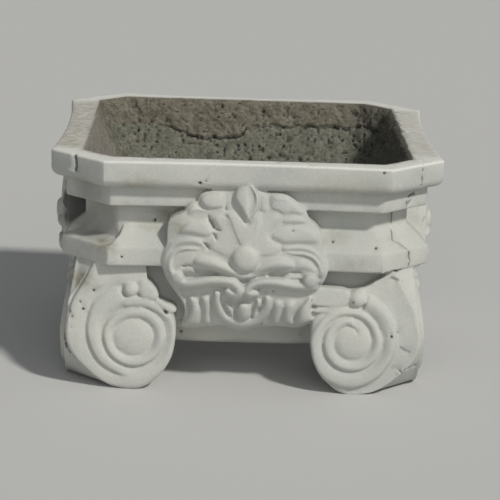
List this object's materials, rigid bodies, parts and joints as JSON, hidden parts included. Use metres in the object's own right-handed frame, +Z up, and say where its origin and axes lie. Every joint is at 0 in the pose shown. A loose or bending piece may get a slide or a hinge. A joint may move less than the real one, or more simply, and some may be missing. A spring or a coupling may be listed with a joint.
{
  "type": "concrete pillar capital",
  "caption": "Hollow square capital for a round pillar, with a scrolled volute under each corner and a shell on each side; it caps the shaft and carries what rests on the rim.",
  "frame": {"origin": "on the pillar's axis, in the plane of the four feet under the volutes", "axes": "+Z up along the pillar's axis, the pictured side faces -Y, +X to its right"},
  "size_m": [0.51, 0.51, 0.3],
  "materials": {
    "concrete": "matt cast concrete, pale and pitted outside, coarse and darker in the hollow"
  },
  "bodies": {
    "root": {"capital": "concrete"}
  },
  "joints": []
}
